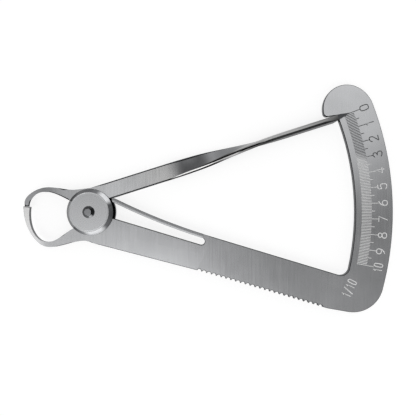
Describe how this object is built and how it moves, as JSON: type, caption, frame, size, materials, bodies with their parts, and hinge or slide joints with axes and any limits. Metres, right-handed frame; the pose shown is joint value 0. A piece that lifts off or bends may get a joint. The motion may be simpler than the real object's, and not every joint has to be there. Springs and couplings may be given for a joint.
{
  "type": "crown gauge",
  "caption": "Pocket gauge with pivoted curved jaws, a twisted pointer arm, a leaf spring cut in the fixed arm and an arc scale in tenths of a millimetre.",
  "frame": {"origin": "on the pivot axis at the underside of the back disc", "axes": "+X along the fixed arm from the pivot to the scale, +Z out of the face that carries the scale"},
  "size_m": [0.1106, 0.0731, 0.0057],
  "materials": {
    "plate_steel": "satin, brushed along one direction, engraved marks and figures",
    "spring_steel": "satin",
    "pointer_steel": "satin on the flats, bright on the edges",
    "disc_steel": "satin, faced on a lathe",
    "rivet_steel": "polished"
  },
  "bodies": {
    "frame_arm": {"scale_plate": "plate_steel", "front_disc": "disc_steel", "back_disc": "disc_steel", "pivot_rivet": "rivet_steel"},
    "pointer": {"pointer_arm": "pointer_steel"},
    "leaf": {"return_leaf": "spring_steel"}
  },
  "joints": [
    {"name": "pointer_swing", "type": "hinge", "parent": "frame_arm", "child": "pointer", "pos_m": [0, 0, 0.0023], "axis": [0, 0, -1], "range_deg": [0, 31.8], "stiffness_Nm_per_rad": 0.17, "springref_deg": -4.58},
    {"name": "leaf_flex", "type": "hinge", "parent": "frame_arm", "child": "leaf", "pos_m": [0.03445, 0.00287, 0.0023], "axis": [0, 0, 1], "range_deg": [0, 8.95]}
  ],
  "couplings": [
    {"joint": "leaf_flex", "follows": "pointer_swing", "ratio": 0.28}
  ]
}
